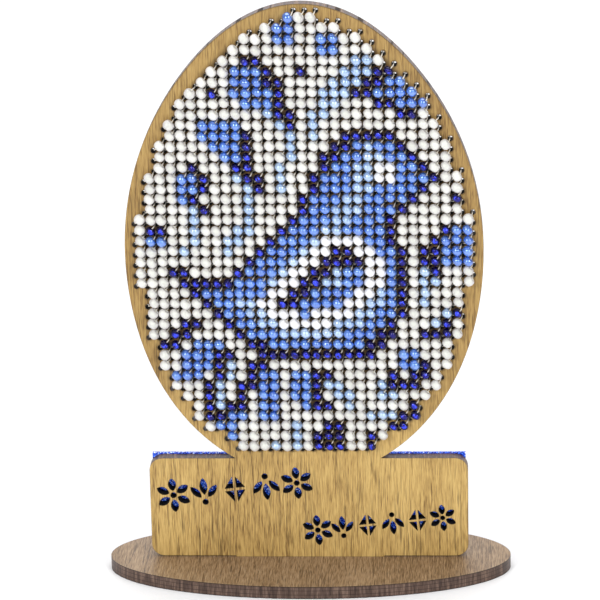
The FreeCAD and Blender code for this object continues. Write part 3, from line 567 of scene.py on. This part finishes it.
def bead_path(col, row, forward):
    mid, axis = all_beads[(col, row)]
    mid, axis = Vector(mid) / MM, Vector(axis)
    sag = Vector((0, 0.10, 0))
    low, high = (2 * col - 1, 2 * row - 1, 1), (2 * col + 1, 2 * row + 1, -1)
    pts = [in_hole(*low, BACK_Y), in_hole(*low, FRONT_Y - 0.05), mid - axis * 0.95 + sag,
           mid + axis * 0.95 + sag, in_hole(*high, FRONT_Y - 0.05), in_hole(*high, BACK_Y)]
    return pts if forward else pts[::-1]


def soften(pts):
    """Round every corner of the run with a short curve."""
    out = [pts[0]]
    for a, p, b in zip(pts, pts[1:], pts[2:]):
        u, v = a - p, b - p
        du, dv = min(0.30, u.length * 0.42), min(0.30, v.length * 0.42)
        s, e = p + u.normalized() * du, p + v.normalized() * dv
        out += [s, s * 0.25 + p * 0.5 + e * 0.25, e]
    out.append(pts[-1])
    return out


def tube(pts, verts, faces, sides=7):
    start = len(verts)
    way = (pts[1] - pts[0]).normalized()
    side = way.cross(Vector((0.31, 0.17, 0.93))).normalized()
    for k, p in enumerate(pts):
        ahead = (pts[min(k + 1, len(pts) - 1)] - pts[max(k - 1, 0)]).normalized()
        side = (side - ahead * side.dot(ahead)).normalized()
        other = ahead.cross(side)
        for j in range(sides):
            f = 2 * math.pi * j / sides
            verts.append((p + side * (THREAD_R * math.cos(f)) + other * (THREAD_R * math.sin(f))) * MM)
    n = len(pts)
    for k in range(n - 1):
        for j in range(sides):
            q = (j + 1) % sides
            a, b = start + k * sides, start + (k + 1) * sides
            faces.append((a + j, a + q, b + q, b + j))
    faces.append(tuple(start + j for j in range(sides))[::-1])
    faces.append(tuple(start + (n - 1) * sides + j for j in range(sides)))


rows = sorted({r for _, r in all_beads}, reverse=True)
reach = {r: max(c for c, q in all_beads if q == r) for r in rows}
whole = {"thread_upper": [], "thread_middle": [], "thread_lower": []}
carry = None
for n, row in enumerate(rows):
    forward = n % 2 == 0
    cols = list(range(-reach[row], reach[row] + 1))
    if not forward:
        cols.reverse()
    pts = []
    if carry is None:
        first = bead_path(cols[0], row, forward)[0]
        pts += [first + Vector((-0.5, OVER_Y - BACK_Y, -4.2)), first + Vector((-0.1, OVER_Y - BACK_Y, -1.4))]
    else:
        pts.append(carry)
    for col in cols:
        pts += bead_path(col, row, forward)
    last = pts[-1]
    if n + 1 < len(rows):
        nxt_row = rows[n + 1]
        nxt = bead_path(reach[nxt_row] if forward else -reach[nxt_row], nxt_row, not forward)[0]
        hop, lift = nxt - last, Vector((0, OVER_Y - BACK_Y, 0))
        carry = last + hop * 0.5 + lift
        pts += [last + hop * 0.30 + lift, carry]
    else:
        pts += [last + Vector((0, OVER_Y - BACK_Y, 1.4)), last + Vector((0.3, OVER_Y - BACK_Y, 3.6))]
    piece = "thread_upper" if row > -3 else ("thread_middle" if row > -17 else "thread_lower")
    whole[piece].append(pts)

for name, runs in whole.items():
    line = []
    for pts in runs:                                   # rows follow on from each other in one run
        line += pts if not line else pts[1:]
    verts, faces = [], []
    tube(soften(line), verts, faces)
    mesh = bpy.data.meshes.new(name + "_round")
    mesh.from_pydata(verts, [], faces)
    mesh.polygons.foreach_set("use_smooth", [True] * len(mesh.polygons))
    mesh.materials.append(thread)
    obj = bpy.data.objects.new(name + "_round", mesh)
    bpy.context.scene.collection.objects.link(obj)
    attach(obj, "upright")
    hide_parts(name)

# ---------------------------------------------------------------- floor, light, camera
def plane(name, sx, sy, place, turn=(0, 0, 0)):
    bm = bmesh.new()
    bmesh.ops.create_grid(bm, x_segments=1, y_segments=1, size=0.5)
    mesh = bpy.data.meshes.new(name)
    bm.to_mesh(mesh)
    bm.free()
    obj = bpy.data.objects.new(name, mesh)
    obj.scale = (sx, sy, 1)
    obj.location = place
    obj.rotation_euler = turn
    bpy.context.scene.collection.objects.link(obj)
    return obj


floor = plane("floor", 8, 8, (0, 0, base_lo.z))
fm = Mat("floor_paper")
fm.set(Base_Color=fm.ramp(fm.noise(fm.stretch(40, 40, 40), detail=3), [(0.3, (0.86, 0.86, 0.865)), (0.7, (0.90, 0.90, 0.90))]), Roughness=0.75)
floor.data.materials.append(fm.m)

world = bpy.data.worlds.new("studio")
bpy.context.scene.world = world
world.use_nodes = True
world.node_tree.nodes["Background"].inputs[0].default_value = (1.0, 1.0, 1.0, 1.0)
world.node_tree.nodes["Background"].inputs[1].default_value = 0.34

AZ, EL, ROLL = math.radians(3.27), math.radians(18.54), math.radians(-1.23)
back = Vector((math.sin(AZ) * math.cos(EL), -math.cos(AZ) * math.cos(EL), math.sin(EL)))
right = Vector((math.cos(AZ), math.sin(AZ), 0))
up = back.cross(right)
if up.z < 0:
    up = -up
cx_ = right * math.cos(ROLL) + up * math.sin(ROLL)
cy_ = up * math.cos(ROLL) - right * math.sin(ROLL)
cam_data = bpy.data.cameras.new("camera")
cam = bpy.data.objects.new("camera", cam_data)
bpy.context.scene.collection.objects.link(cam)
turn = Matrix((cx_, cy_, back)).transposed().to_4x4()
cam.matrix_world = Matrix.Translation(Vector((0.0448, -0.8050, 0.3366))) @ turn
cam_data.sensor_width = 36.0
cam_data.lens = 221.4
cam_data.clip_start = 0.01
bpy.context.scene.camera = cam

aim = Vector((0, 0, 0.075))


def softbox(name, place, sx, sy, power, color=(1, 1, 1)):
    data = bpy.data.lights.new(name, "AREA")
    data.shape = "RECTANGLE"
    data.size, data.size_y = sx, sy
    data.energy = power
    data.color = color
    obj = bpy.data.objects.new(name, data)
    obj.location = place
    obj.rotation_euler = (Vector(place) - aim).to_track_quat("Z", "Y").to_euler()
    bpy.context.scene.collection.objects.link(obj)
    return obj


def at(az, el, dist):
    a, e = math.radians(az), math.radians(el)
    return aim + Vector((math.sin(a) * math.cos(e), -math.cos(a) * math.cos(e), math.sin(e))) * dist


softbox("front_left", at(3.3 - 34, 24, 1.3), 0.26, 0.28, 7.0)
softbox("front_right", at(3.3 + 30, 24, 1.3), 0.26, 0.28, 7.0)
softbox("overhead", (0.0, 0.25, 1.5), 1.6, 1.2, 17)
softbox("behind", (0.0, 1.6, 0.55), 2.4, 1.0, 13, (0.96, 0.96, 1.0))

bpy.context.scene.view_settings.view_transform = "Standard"
bpy.context.scene.view_settings.look = "None"
bpy.context.scene.view_settings.exposure = 0.0
